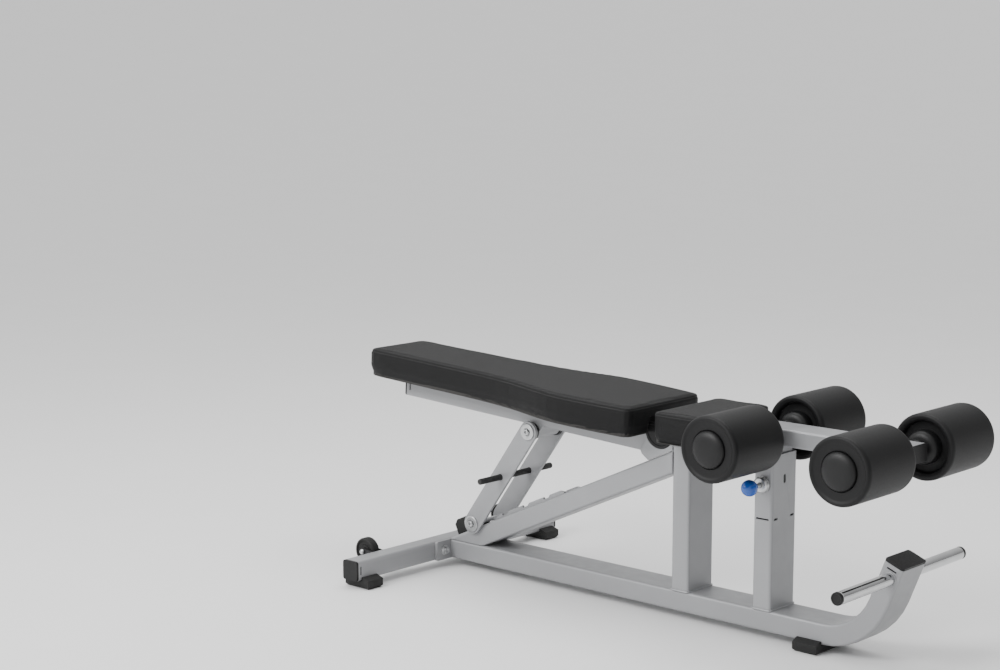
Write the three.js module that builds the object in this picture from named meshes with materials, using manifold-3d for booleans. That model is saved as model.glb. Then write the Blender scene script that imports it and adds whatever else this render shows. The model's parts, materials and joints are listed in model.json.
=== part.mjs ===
// Adjustable weight bench with a leg-roller carriage, in millimetres, +Z up.
// X runs along the bench from the head end (-X) to the leg rollers (+X); Y runs across it.
// The origin is on the floor, under the middle of the bench's overall box.
import * as THREE from 'three';
import { mergeVertices } from 'three/addons/utils/BufferGeometryUtils.js';
import Module from 'manifold-3d';

const wasm = await Module();
wasm.setup();

// ---------------------------------------------------------------- driving dimensions

const GAP = 0.3;                 // clearance between pieces that touch
const WALL = 3;                  // wall of every steel tube

const BEAM = { width: 98, height: 50, corner: 7 };      // frame tube section
const SLIM = { width: 80, height: 50, corner: 6 };      // backrest tube section
const CARRIAGE = { width: 82, height: 40, corner: 5 };  // roller carriage tube section

const FOOT_HEIGHT = 20;                                 // frame tubes sit this far off the floor
const BEAM_Z = FOOT_HEIGHT + BEAM.height / 2;
const BEAM_TOP = FOOT_HEIGHT + BEAM.height;

const ROLLER_POST_X = 408;
const SEAT_POST_X = ROLLER_POST_X - 231;
const CROSSBAR_X = ROLLER_POST_X - 1004;
const CROSSBAR_HALF = 372;
const POST_DEPTH = 50;
const FRONT_FOOT_X = ROLLER_POST_X + 132;
const REAR_FOOT_Y = 337;
const SOLE_BEVEL = 5;

const NOSE_START_X = ROLLER_POST_X + 164;               // where the base beam begins to curl up
const NOSE_RADIUS = 150;
const NOSE_ANGLE = THREE.MathUtils.degToRad(68.5);
const NOSE_STRAIGHT = 100;

const HANDLE = { x: ROLLER_POST_X + 331, z: 202, radius: 14.5, half: 249 };

const INCLINE_ANGLE = THREE.MathUtils.degToRad(24.7);
const HINGE = new THREE.Vector3(ROLLER_POST_X - 294, 0, 445);
const BACKREST_TILT = THREE.MathUtils.degToRad(2.9);    // head end stands this much above level

const STRUT_TOP = new THREE.Vector3(ROLLER_POST_X - 697, 0, 390);
const STRUT_FOOT = new THREE.Vector3(ROLLER_POST_X - 887, 0, 126);
const STRUT_ARM = { width: 52, thick: 8, y: 55 };

const SEAT = { x: 157, rear: ROLLER_POST_X - 258, top: 505, bottom: 434.3, half: 128, board: 12 };

const CARRIAGE_Z = 472;
const CARRIAGE_REAR_X = ROLLER_POST_X - 44;
const CARRIAGE_FRONT_X = ROLLER_POST_X + 358;
const FRONT_AXLE_X = ROLLER_POST_X + 330.5;
const ROLLER = { radius: 75, length: 187, inner: 75, bore: 17 };
const AXLE_RADIUS = 12.5;

const POST_TOP = 428;
const PIN_Z = 361;                                      // height of the pop pin
const PIN_PITCH = 30;                                   // spacing of the height holes
const GUIDE_Z = 281;

const WHEEL = { x: CROSSBAR_X - 63, y: 256, z: 62.5, radius: 34, width: 24 };

// ---------------------------------------------------------------- finishes

const finish = (color, roughness, metalness) => ({ color, roughness, metalness });
const SILVER_PAINT = finish(0xb4b6b8, 0.42, 0.55);
const ZINC = finish(0xcfd1d2, 0.3, 0.85);
const CHROME = finish(0xd9dadc, 0.14, 1);
const VINYL = finish(0x17181a, 0.5, 0);
const FOAM = finish(0x1a1b1d, 0.62, 0);
const PLASTIC = finish(0x151617, 0.48, 0);
const RUBBER = finish(0x1b1b1c, 0.85, 0);
const PLYWOOD = finish(0x1f1d1a, 0.7, 0);
const BLACK_PAINT = finish(0x161718, 0.45, 0.2);
const BLUE = finish(0x1f6fc4, 0.28, 0);

// ---------------------------------------------------------------- solids and booleans

function toSolid(geometry) {
  const bare = geometry.clone();
  for (const name of Object.keys(bare.attributes)) {
    if (name !== 'position') bare.deleteAttribute(name);
  }
  const welded = mergeVertices(bare, 1e-4);
  const vertProperties = new Float32Array(welded.attributes.position.array);
  const triVerts = new Uint32Array(welded.index.array);
  return new wasm.Manifold(new wasm.Mesh({ numProp: 3, vertProperties, triVerts }));
}

function toGeometry(solid) {
  const mesh = solid.getMesh();
  const geometry = new THREE.BufferGeometry();
  geometry.setAttribute('position', new THREE.BufferAttribute(mesh.vertProperties, 3));
  geometry.setIndex(new THREE.BufferAttribute(mesh.triVerts, 1));
  const facets = geometry.toNonIndexed();
  facets.computeVertexNormals();
  return facets;
}

function join(first, ...others) {
  return toGeometry(others.reduce((solid, other) => solid.add(toSolid(other)), toSolid(first)));
}

function cut(first, ...tools) {
  return toGeometry(tools.reduce((solid, tool) => solid.subtract(toSolid(tool)), toSolid(first)));
}

function common(first, second) {
  return toGeometry(toSolid(first).intersect(toSolid(second)));
}

// ---------------------------------------------------------------- outlines

function roundedRect(width, height, radius, Kind = THREE.Shape) {
  const x = width / 2 - radius;
  const y = height / 2 - radius;
  const outline = new Kind();
  outline.moveTo(x, -y - radius);
  outline.absarc(x, -y, radius, -Math.PI / 2, 0);
  outline.absarc(x, y, radius, 0, Math.PI / 2);
  outline.absarc(-x, y, radius, Math.PI / 2, Math.PI);
  outline.absarc(-x, -y, radius, Math.PI, Math.PI * 1.5);
  outline.closePath();
  return outline;
}

function tubeSection(width, height, corner) {
  const section = roundedRect(width, height, corner);
  const inner = roundedRect(width - 2 * WALL, height - 2 * WALL, corner - WALL, THREE.Path);
  section.holes.push(inner);
  return section;
}

function polygon(points) {
  return new THREE.Shape(points.map(([x, y]) => new THREE.Vector2(x, y)));
}

/** A straight link with round ends, centred on its two pivots. */
function linkShape(length, width) {
  const r = width / 2;
  const shape = new THREE.Shape();
  shape.moveTo(0, -r);
  shape.lineTo(length, -r);
  shape.absarc(length, 0, r, -Math.PI / 2, Math.PI / 2);
  shape.lineTo(0, r);
  shape.absarc(0, 0, r, Math.PI / 2, Math.PI * 1.5);
  return shape;
}

// ---------------------------------------------------------------- extrusions, centred on the origin

const TO_X = new THREE.Matrix4().makeBasis(
  new THREE.Vector3(0, 1, 0), new THREE.Vector3(0, 0, 1), new THREE.Vector3(1, 0, 0));
const TO_Y = new THREE.Matrix4().makeBasis(
  new THREE.Vector3(1, 0, 0), new THREE.Vector3(0, 0, 1), new THREE.Vector3(0, -1, 0));

function extrude(shape, length, curveSegments = 2, steps = 1) {
  const geometry = new THREE.ExtrudeGeometry(shape, {
    depth: length, steps, bevelEnabled: false, curveSegments,
  });
  return geometry.translate(0, 0, -length / 2);
}

/** Outline in Y and Z, extruded along X. */
const extrudeX = (shape, length, segments) => extrude(shape, length, segments).applyMatrix4(TO_X);
/** Outline in X and Z, extruded across the bench. */
const extrudeY = (shape, length, segments) => extrude(shape, length, segments).applyMatrix4(TO_Y);
/** Outline in X and Y, extruded upwards. */
const extrudeZ = (shape, length, segments) => extrude(shape, length, segments);

const box = (x, y, z) => new THREE.BoxGeometry(x, y, z);
const rodY = (radius, length, sides = 18) => new THREE.CylinderGeometry(radius, radius, length, sides);
const rodX = (radius, length, sides = 18) => rodY(radius, length, sides).rotateZ(Math.PI / 2);
const rodZ = (radius, length, sides = 18) => rodY(radius, length, sides).rotateX(Math.PI / 2);

/** A turned piece about Y, from [radius, y] pairs that start and end on the axis or close. */
function turned(profile, sides = 20) {
  return new THREE.LatheGeometry(profile.map(([r, y]) => new THREE.Vector2(r, y)), sides);
}

/** A ring about Y whose outer rims are rounded. */
function turnedRing(inner, outer, length, rim, sides = 20) {
  const h = length / 2;
  return turned([
    [inner, -h],
    [outer - rim, -h],
    [outer - rim * 0.3, -h + rim * 0.3],
    [outer, -h + rim],
    [outer, h - rim],
    [outer - rim * 0.3, h - rim * 0.3],
    [outer - rim, h],
    [inner, h],
    [inner, -h],
  ], sides);
}

/** A closed block whose plan outline has softened top and bottom edges. */
function cushion(shape, height, edge, segments) {
  const geometry = new THREE.ExtrudeGeometry(shape, {
    depth: height - 2 * edge,
    steps: 1,
    curveSegments: segments,
    bevelEnabled: true,
    bevelSize: edge,
    bevelThickness: edge,
    bevelOffset: -edge,
    bevelSegments: 2,
  });
  return geometry.translate(0, 0, -(height - 2 * edge) / 2);
}

// ---------------------------------------------------------------- scene graph

const bench = new THREE.Group();
bench.name = 'adjustable_bench';

function place(name, geometry, look, x = 0, y = 0, z = 0, parent = bench) {
  const mesh = new THREE.Mesh(geometry, new THREE.MeshStandardMaterial(look));
  mesh.name = name;
  mesh.position.set(x, y, z);
  parent.add(mesh);
  return mesh;
}

/** Calls build('left', +1) and build('right', -1): left is +Y for someone lying on the bench. */
function bothSides(build) {
  build('left', 1);
  build('right', -1);
}

// ---------------------------------------------------------------- base beam and its curled nose

/** Sweeps a section through stations {x, z, angle} in the XZ plane. */
function sweep(section, stations) {
  const spans = stations.length - 1;
  const geometry = new THREE.ExtrudeGeometry(section, {
    depth: spans, steps: spans, bevelEnabled: false, curveSegments: 2,
  });
  const position = geometry.attributes.position;
  for (let i = 0; i < position.count; i += 1) {
    const station = stations[Math.round(position.getZ(i))];
    const across = position.getX(i);
    const up = position.getY(i);
    position.setXYZ(
      i,
      station.x - up * Math.sin(station.angle),
      across,
      station.z + up * Math.cos(station.angle),
    );
  }
  return geometry;
}

const NOSE_TIP = {
  x: NOSE_START_X + NOSE_RADIUS * Math.sin(NOSE_ANGLE) + NOSE_STRAIGHT * Math.cos(NOSE_ANGLE),
  z: BEAM_Z + NOSE_RADIUS * (1 - Math.cos(NOSE_ANGLE)) + NOSE_STRAIGHT * Math.sin(NOSE_ANGLE),
};
const FLANGE = { thick: 8, width: 200, bolt: 72, hole: 6 };
const BEAM_REAR_X = CROSSBAR_X + POST_DEPTH / 2 + GAP;

/** Plate across the beam's rear end that bolts to the crossbar. */
function flangePlate() {
  const plate = extrudeX(roundedRect(FLANGE.width, BEAM.height, 4), FLANGE.thick);
  const holes = [1, -1].map((sign) => rodX(FLANGE.hole, 20, 16).translate(0, sign * FLANGE.bolt, 0));
  return cut(plate, ...holes).translate(BEAM_REAR_X + FLANGE.thick / 2, 0, BEAM_Z);
}

function baseBeam() {
  const bends = 7;
  const stations = [{ x: BEAM_REAR_X, z: BEAM_Z, angle: 0 }];
  for (let i = 0; i <= bends; i += 1) {
    const angle = (NOSE_ANGLE * i) / bends;
    stations.push({
      x: NOSE_START_X + NOSE_RADIUS * Math.sin(angle),
      z: BEAM_Z + NOSE_RADIUS * (1 - Math.cos(angle)),
      angle,
    });
  }
  stations.push({ ...NOSE_TIP, angle: NOSE_ANGLE });
  const tube = sweep(tubeSection(BEAM.width, BEAM.height, BEAM.corner), stations);
  const bore = rodY(HANDLE.radius + GAP, BEAM.width + 20, 24).translate(HANDLE.x, 0, HANDLE.z);
  const latchWindow = box(25, WALL * 4, 4)
    .translate(0, -BEAM.width / 2, -11)
    .rotateY(Math.PI / 2 - NOSE_ANGLE)
    .translate(NOSE_TIP.x, 0, NOSE_TIP.z);
  return cut(join(tube, flangePlate()), bore, latchWindow);
}

function noseGroup() {
  const nose = new THREE.Group();
  nose.position.set(NOSE_TIP.x, 0, NOSE_TIP.z);
  nose.rotation.y = Math.PI / 2 - NOSE_ANGLE;
  bench.add(nose);
  return nose;
}

/** A push-in plastic cap: a flat lid over the tube end and a plug inside it. Lid faces +Z. */
function endCap(width, height, corner, lid, plug) {
  const cover = extrudeZ(roundedRect(width, height, corner), lid).translate(0, 0, lid / 2 + GAP);
  const inset = WALL + GAP;
  const insert = extrudeZ(roundedRect(width - 2 * inset, height - 2 * inset, corner - WALL), plug + 1);
  return join(cover, insert.translate(0, 0, GAP + 1 - (plug + 1) / 2));
}

place('base_beam', baseBeam(), SILVER_PAINT);
place('front_end_cap', endCap(BEAM.height, BEAM.width, BEAM.corner, 6, 14), PLASTIC,
  0, 0, 0, noseGroup());

place('handle_bar', rodY(HANDLE.radius, 2 * HANDLE.half, 24), CHROME, HANDLE.x, 0, HANDLE.z);

/** Plastic plug over the end of the handle bar, its rim rounded. Outer face towards +Y. */
function handlePlug() {
  const r = HANDLE.radius;
  return turned([[0, 0], [r, 0], [r, 5], [r - 3, 8], [0, 8]], 24);
}

bothSides((side, sign) => {
  const plug = place(`handle_plug_${side}`, handlePlug(), PLASTIC,
    HANDLE.x, sign * (HANDLE.half + GAP), HANDLE.z);
  plug.rotation.x = sign < 0 ? Math.PI : 0;
});

/**
 * Rubber foot that cradles a tube running along X. A skirt stands out from each side of the tube
 * with a lip above it, and the sole is bevelled all round.
 */
function cradleFoot(tubeWidth, length, skirtLeft, skirtRight) {
  const side = tubeWidth / 2 + GAP;
  const lip = FOOT_HEIGHT + 9;
  const half = (skirt) => [
    [side + skirt - SOLE_BEVEL, 0],
    [side + skirt, SOLE_BEVEL],
    [side + skirt, FOOT_HEIGHT + 2],
    [side + 3, lip],
    [side, lip],
    [side, FOOT_HEIGHT - GAP],
  ];
  const right = half(skirtRight).map(([y, z]) => [-y, z]).reverse();
  const block = extrudeX(polygon([...half(skirtLeft), ...right]), length);
  const end = length / 2;
  const sole = end - SOLE_BEVEL;
  const ends = polygon([[-sole, 0], [sole, 0], [end, SOLE_BEVEL], [end, 60], [-end, 60], [-end, SOLE_BEVEL]]);
  return common(block, extrudeY(ends, 2 * tubeWidth + 100));
}

place('front_foot', cradleFoot(BEAM.width, 64, 21, 21), RUBBER, FRONT_FOOT_X, 0, 0);

// ---------------------------------------------------------------- rear crossbar

function crossbar() {
  const tube = extrudeY(tubeSection(POST_DEPTH, BEAM.height, BEAM.corner), 2 * CROSSBAR_HALF);
  const windows = [1, -1].map((sign) => box(WALL * 4, 4, 22)
    .translate(POST_DEPTH / 2, sign * (CROSSBAR_HALF - 8), 0));
  const bolts = [1, -1].map((sign) => rodX(FLANGE.hole, POST_DEPTH + 10, 16)
    .translate(0, sign * FLANGE.bolt, 0));
  return cut(tube, ...windows, ...bolts);
}

place('rear_crossbar', crossbar(), SILVER_PAINT, CROSSBAR_X, 0, BEAM_Z);

bothSides((side, sign) => {
  const cap = place(`crossbar_cap_${side}`, endCap(POST_DEPTH, BEAM.height, BEAM.corner, 6, 18), PLASTIC,
    CROSSBAR_X, sign * CROSSBAR_HALF, BEAM_Z);
  cap.rotation.x = -sign * Math.PI / 2;

  const foot = place(`rear_foot_${side}`, cradleFoot(POST_DEPTH, 52, 8, 24), RUBBER,
    CROSSBAR_X, sign * REAR_FOOT_Y, 0);
  foot.rotation.z = Math.PI / 2;
});

/** A hex-socket bolt along X with a washer and dished head on the +X side. */
function flangeBolt() {
  const washer = rodX(13, 2.5, 20).translate(6.25, 0, 0);
  const head = rodX(9, 7.5, 20).translate(10.5, 0, 0);
  const shank = rodX(5.6, 50, 16).translate(-19, 0, 0);
  const socket = rodX(4.5, 10, 6).translate(16, 0, 0);
  return cut(join(shank, washer, head), socket);
}

bothSides((side, sign) => {
  place(`flange_bolt_${side}`, flangeBolt(), ZINC,
    BEAM_REAR_X + FLANGE.thick - 4.7, sign * FLANGE.bolt, BEAM_Z);
});

// ---------------------------------------------------------------- transport wheels

/** Fork of two low cheeks welded behind the crossbar, with the wheel bolt through them along Y. */
function wheelFork() {
  const reach = CROSSBAR_X - POST_DEPTH / 2 - GAP - WHEEL.x;
  const cheek = (sign) => {
    const shape = new THREE.Shape();
    shape.moveTo(reach, -24);
    shape.lineTo(reach, 5);
    shape.lineTo(0, 9);
    shape.absarc(0, 0, 9, Math.PI / 2, Math.PI * 1.5);
    shape.lineTo(reach, -24);
    return extrudeY(shape, 4, 6).translate(0, sign * (WHEEL.width / 2 + 4), 0);
  };
  const bolt = rodY(5, WHEEL.width + 22, 16);
  const heads = [1, -1].map((sign) => rodY(6.2, 5, 6).translate(0, sign * (WHEEL.width / 2 + 8.3), 0));
  return join(cheek(1), cheek(-1), bolt, ...heads);
}

bothSides((side, sign) => {
  place(`wheel_fork_${side}`, wheelFork(), BLACK_PAINT, WHEEL.x, sign * WHEEL.y, WHEEL.z);
  place(`transport_wheel_${side}`, turnedRing(5 + GAP, WHEEL.radius, WHEEL.width, 4, 16), RUBBER,
    WHEEL.x, sign * WHEEL.y, WHEEL.z);
});

// ---------------------------------------------------------------- inclined beam and strut ladder

const slope = Math.tan(INCLINE_ANGLE);
const INCLINE_MID = new THREE.Vector3(ROLLER_POST_X - 473.5, 0, 274.8);
/** Height of the inclined beam's upper face above the floor, at a given x. */
const inclineTop = (x) => INCLINE_MID.z + BEAM.height / 2 / Math.cos(INCLINE_ANGLE)
  + slope * (x - INCLINE_MID.x);

function inclineBeam() {
  const tube = extrudeX(tubeSection(BEAM.width, BEAM.height, BEAM.corner), 1100)
    .rotateY(-INCLINE_ANGLE)
    .translate(INCLINE_MID.x, 0, INCLINE_MID.z);
  const seatPostRear = SEAT_POST_X - POST_DEPTH / 2 - GAP;
  const below = box(1400, 200, 400).translate(INCLINE_MID.x, 0, BEAM_TOP + GAP - 200);
  const ahead = box(400, 200, 1200).translate(seatPostRear + 200, 0, 300);
  return cut(tube, below, ahead);
}

place('incline_beam', inclineBeam(), SILVER_PAINT);

/** Group whose X runs up the inclined beam's top face from under the strut's foot pin. */
function ladderGroup() {
  const group = new THREE.Group();
  group.position.set(STRUT_FOOT.x, 0, inclineTop(STRUT_FOOT.x));
  group.rotation.y = -INCLINE_ANGLE;
  bench.add(group);
  return group;
}

const ladder = ladderGroup();
const LADDER = { start: 62, end: 320, height: 10.5, rest: 4.5, notches: [104, 180, 256] };

/** Toothed rail: each notch has a steep stop on its lower side and a ramp on its upper side. */
function ladderRail() {
  const points = [[LADDER.start, GAP], [LADDER.start, LADDER.height]];
  for (const s of LADDER.notches) {
    points.push([s - 9, LADDER.height], [s - 8, LADDER.rest], [s + 7, LADDER.rest], [s + 16, LADDER.height]);
  }
  points.push([LADDER.end - 14, LADDER.height], [LADDER.end, LADDER.rest], [LADDER.end, GAP]);
  return extrudeY(polygon(points), 8);
}

bothSides((side, sign) => {
  place(`ladder_rail_${side}`, ladderRail(), SILVER_PAINT, 0, sign * 32, 0, ladder);
});
const STRUT_STOP = [[-88, GAP], [-88, 30], [-76, 40], [-30, 40], [-17, 24], [-9, 24], [-9, GAP]];
place('strut_stop', extrudeY(polygon(STRUT_STOP), 46), RUBBER, 0, 0, 0, ladder);

// ---------------------------------------------------------------- seat post, ears and hinge

function seatPost() {
  const top = SEAT.bottom - 9;
  const bottom = BEAM_TOP + GAP;
  const tube = extrudeZ(tubeSection(POST_DEPTH, BEAM.width, BEAM.corner), top - bottom)
    .translate(0, 0, (top + bottom) / 2);
  const plate = extrudeZ(roundedRect(150, 190, 10), 8).translate(SEAT.x / 2 - 6, 0, top + 3);
  return join(tube, plate);
}

place('seat_post', seatPost(), SILVER_PAINT, SEAT_POST_X, 0, 0);

const BEARING_RADIUS = 43;

/** Cheek plate on the inclined beam whose upper edge cradles the hinge bearing. */
function hingeEar() {
  const rear = SEAT_POST_X - POST_DEPTH / 2 - GAP - HINGE.x;
  const cradle = BEARING_RADIUS + GAP;
  const leftEnd = Math.PI + 0.46;
  const rightEnd = 2 * Math.PI - 0.62;
  const foot = -62;
  const shape = new THREE.Shape();
  shape.moveTo(rear, inclineTop(HINGE.x + rear) + GAP - HINGE.z);
  shape.lineTo(rear, Math.sin(rightEnd) * cradle);
  shape.lineTo(Math.cos(rightEnd) * cradle, Math.sin(rightEnd) * cradle);
  shape.absarc(0, 0, cradle, rightEnd, leftEnd, true);
  shape.lineTo(-57, -54);
  shape.lineTo(-30 - 0.9 * BEAM.height / 2, foot);
  shape.lineTo(-34, inclineTop(HINGE.x - 34) + GAP - HINGE.z);
  return shape;
}

/** Round bearing block: a disc with a flat top, bored for the hinge axle. */
function bearingBlock() {
  const flat = 18;
  const disc = rodY(BEARING_RADIUS, 7, 30);
  const trim = box(120, 20, 60).translate(0, 0, flat + 30);
  const front = box(40, 20, 120).translate(33 + 20, 0, 0);
  const bore = rodY(11 + GAP, 20, 20);
  return cut(disc, trim, front, bore);
}

bothSides((side, sign) => {
  place(`hinge_ear_${side}`, extrudeY(hingeEar(), 6, 14), SILVER_PAINT, HINGE.x, sign * 46, HINGE.z);
  place(`hinge_bearing_${side}`, bearingBlock(), PLASTIC, HINGE.x, sign * 46, HINGE.z);
});
place('hinge_axle', rodY(11, 104, 20), ZINC, HINGE.x, 0, HINGE.z);

// ---------------------------------------------------------------- seat

place('seat_board', extrudeZ(roundedRect(SEAT.x - 8, 2 * SEAT.half - 8, 16), SEAT.board), PLYWOOD,
  SEAT.rear + SEAT.x / 2, 0, SEAT.bottom + SEAT.board / 2);
const SEAT_FOAM = SEAT.top - SEAT.bottom - SEAT.board - GAP;
place('seat_pad', cushion(roundedRect(SEAT.x, 2 * SEAT.half, 20), SEAT_FOAM, 10, 3),
  VINYL, SEAT.rear + SEAT.x / 2, 0, (SEAT.top + SEAT.bottom + SEAT.board + GAP) / 2);

// ---------------------------------------------------------------- backrest

/** Backrest pieces hang from the hinge: -X runs towards the head end, Z stands off the pad. */
const backrest = new THREE.Group();
backrest.position.copy(HINGE);
backrest.rotation.y = BACKREST_TILT;
bench.add(backrest);

const TUBE_TOP = -10.3;
const PAD = { bottom: TUBE_TOP + GAP, board: 12, top: 59.5, head: 928, foot: -24 };
const RELIEF = { length: 64, half: 56, top: 30 };

const BACK_TUBE = { front: 24, rear: 842 };
const PAD_BOLTS = [-740, -305];

/** Where a point of the bench lies in the backrest's own frame. */
function inBackrest(point) {
  const local = point.clone().sub(HINGE);
  return local.applyAxisAngle(new THREE.Vector3(0, 1, 0), -BACKREST_TILT);
}

const lugPivot = inBackrest(STRUT_TOP);

/** Bracket welded under the backrest tube that carries the strut axle. */
function strutLug() {
  const rise = TUBE_TOP - SLIM.height + 4 - lugPivot.z;
  const shape = new THREE.Shape();
  shape.moveTo(-20, 0);
  shape.absarc(0, 0, 20, Math.PI, 2 * Math.PI);
  shape.lineTo(34, rise);
  shape.lineTo(-34, rise);
  return extrudeY(shape, SLIM.width, 6).translate(lugPivot.x, 0, lugPivot.z);
}

function backrestTube() {
  const length = BACK_TUBE.rear - BACK_TUBE.front;
  const middle = -(BACK_TUBE.rear + BACK_TUBE.front) / 2;
  const z = TUBE_TOP - SLIM.height / 2;
  const tube = extrudeX(tubeSection(SLIM.width, SLIM.height, SLIM.corner), length).translate(middle, 0, z);
  const neck = box(30, 70, 30).translate(-22, 0, -15);
  const barrel = rodY(20, 80, 24);
  const bore = rodY(11 + GAP, 100, 20);
  const boltHoles = PAD_BOLTS.map((x) => rodZ(5 + GAP, 80, 14).translate(x, 0, z));
  const window = box(4, WALL * 4, 18).translate(-(BACK_TUBE.rear - 12), -SLIM.width / 2, z);
  const lugBore = rodY(9 + GAP, 100, 20).translate(lugPivot.x, 0, lugPivot.z);
  return cut(join(tube, neck, barrel, strutLug()), bore, lugBore, ...boltHoles, window);
}

/** Half-widths of the pad from the hinge end to the head end, as [distance, half-width]. */
const PAD_SIDE = [
  [48, 144], [104, 150], [190, 155], [262, 154], [335, 139], [415, 121], [520, 111], [640, 108], [880, 105],
];

/** Pad outline in plan: a shaped side curve, mirrored, with rounded corners. */
function padOutline(inset = 0) {
  const side = PAD_SIDE.map(([u, half]) => new THREE.Vector2(-u, half - inset));
  const left = new THREE.SplineCurve(side).getPoints(16);
  const right = left.map((p) => new THREE.Vector2(p.x, -p.y)).reverse();
  const foot = PAD.foot - inset;
  const head = -(PAD.head - inset);
  const first = left[0];
  const last = left[left.length - 1];
  const shape = new THREE.Shape();
  shape.moveTo(foot, 0);
  shape.lineTo(foot, first.y - 24);
  shape.quadraticCurveTo(foot, first.y, first.x, first.y);
  left.slice(1).forEach((p) => shape.lineTo(p.x, p.y));
  shape.quadraticCurveTo(head, last.y, head, last.y - 24);
  shape.lineTo(head, -(last.y - 24));
  shape.quadraticCurveTo(head, -last.y, right[0].x, right[0].y);
  right.slice(1).forEach((p) => shape.lineTo(p.x, p.y));
  shape.quadraticCurveTo(foot, -first.y, foot, -(first.y - 24));
  shape.lineTo(foot, 0);
  return shape;
}

const reliefBox = () => box(RELIEF.length * 2, RELIEF.half * 2, RELIEF.top * 2);

function backrestBoard() {
  const board = extrudeZ(padOutline(5), PAD.board, 3).translate(0, 0, PAD.bottom + PAD.board / 2);
  const boltHoles = PAD_BOLTS.map((x) => rodZ(5 + GAP, 24, 14).translate(x, 0, PAD.bottom));
  return cut(board, reliefBox(), ...boltHoles);
}

function backrestPad() {
  const height = PAD.top - PAD.bottom - PAD.board - GAP;
  const pad = cushion(padOutline(), height, 11, 3).translate(0, 0, PAD.top - height / 2);
  return cut(pad, reliefBox());
}

place('backrest_tube', backrestTube(), SILVER_PAINT, 0, 0, 0, backrest);
place('backrest_board', backrestBoard(), PLYWOOD, 0, 0, 0, backrest);
place('backrest_pad', backrestPad(), VINYL, 0, 0, 0, backrest);

const tubeCap = place('backrest_tube_cap', endCap(SLIM.height, SLIM.width, SLIM.corner, 5, 24), PLASTIC,
  -BACK_TUBE.rear, 0, TUBE_TOP - SLIM.height / 2, backrest);
tubeCap.rotation.y = -Math.PI / 2;

/** Long bolt up through the tube into the board, with its washer and head below the tube. */
function padBolt() {
  const shank = rodZ(5, 61, 14).translate(0, 0, 29);
  const head = rodZ(8, 6, 6).translate(0, 0, -3 - 2);
  const washer = rodZ(12, 2, 20).translate(0, 0, -1 - GAP);
  return join(shank, washer, head);
}

PAD_BOLTS.forEach((x, i) => {
  place(`pad_bolt_${i === 0 ? 'head' : 'hip'}`, padBolt(), ZINC,
    x, 0, TUBE_TOP - SLIM.height - GAP + 0.1, backrest);
});

// ---------------------------------------------------------------- strut

const STRUT_LENGTH = STRUT_TOP.distanceTo(STRUT_FOOT);

/** The strut hangs in its own group: X runs from the upper pivot down to the foot pin. */
const strut = new THREE.Group();
strut.position.copy(STRUT_TOP);
strut.rotation.y = Math.PI - Math.atan2(STRUT_TOP.z - STRUT_FOOT.z, STRUT_TOP.x - STRUT_FOOT.x);
bench.add(strut);

const FOOT_PIN_RADIUS = 6;

function strutArm() {
  const bar = extrudeY(linkShape(STRUT_LENGTH, STRUT_ARM.width), STRUT_ARM.thick, 8);
  const holes = [
    rodY(9 + GAP, 30, 20),
    rodY(8 + GAP, 30, 20).translate(STRUT_LENGTH / 2 - 5, 0, 0),
    rodY(FOOT_PIN_RADIUS + GAP, 30, 20).translate(STRUT_LENGTH, 0, 0),
  ];
  return cut(bar, ...holes);
}

/** A cross axle with a broad washer and a socket-head screw outside each arm. */
function strutAxle(radius) {
  const outer = STRUT_ARM.y + STRUT_ARM.thick / 2 + GAP;
  const parts = [1, -1].flatMap((sign) => [
    rodY(21, 4, 18).translate(0, sign * (outer + 2), 0),
    rodY(9, 5, 12).translate(0, sign * (outer + 6), 0),
  ]);
  const sockets = [1, -1].map((sign) => rodY(4.5, 8, 6).translate(0, sign * (outer + 9), 0));
  return cut(join(rodY(radius, 2 * outer + 4, 20), ...parts), ...sockets);
}

bothSides((side, sign) => {
  place(`strut_arm_${side}`, strutArm(), SILVER_PAINT, 0, sign * STRUT_ARM.y, 0, strut);
  place(`strut_spacer_${side}`, turnedRing(9 + GAP, 23, 10, 2, 16), PLASTIC, 0, sign * 45.6, 0, strut);
});
place('strut_axle', strutAxle(9), ZINC, 0, 0, 0, strut);
place('strut_foot_pin', strutAxle(FOOT_PIN_RADIUS), ZINC, STRUT_LENGTH, 0, 0, strut);
place('strut_handle', rodY(8, 272, 20), RUBBER, STRUT_LENGTH / 2 - 5, 0, 0, strut);

// ---------------------------------------------------------------- roller post and pop pin

const PIN_RADIUS = 6;

function rollerPost() {
  const bottom = BEAM_TOP + GAP;
  const tube = extrudeZ(tubeSection(POST_DEPTH, BEAM.width, BEAM.corner), POST_TOP - bottom)
    .translate(0, 0, (POST_TOP + bottom) / 2);
  const pinHole = rodY(PIN_RADIUS + GAP, 20, 18).translate(0, -BEAM.width / 2, PIN_Z);
  const sideWindow = box(34, 12, 4).translate(0, -BEAM.width / 2, GUIDE_Z);
  const frontWindows = [1, -1].map((sign) => box(12, 14, 5).translate(POST_DEPTH / 2, sign * 32, GUIDE_Z));
  const slot = extrudeX(roundedRect(9, 21, 4.4), 12).translate(POST_DEPTH / 2, 0, 370);
  return cut(tube, pinHole, sideWindow, ...frontWindows, slot);
}

place('roller_post', rollerPost(), SILVER_PAINT, ROLLER_POST_X, 0, 0);

/** Plastic sleeve that fills the space between the outer post and the sliding post. */
function postGuide() {
  const outer = roundedRect(POST_DEPTH - 2 * WALL - 2 * GAP, BEAM.width - 2 * WALL - 2 * GAP, 3);
  const inner = roundedRect(CARRIAGE.height - 1, CARRIAGE.width + 2 * GAP, 4, THREE.Path);
  outer.holes.push(inner);
  const length = 60;
  const sleeve = extrudeZ(outer, length);
  const latch = box(30, 3, 3).translate(0, -BEAM.width / 2 + WALL, 0);
  return join(sleeve, latch);
}

place('post_guide', postGuide(), PLASTIC, ROLLER_POST_X, 0, GUIDE_Z);

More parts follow.
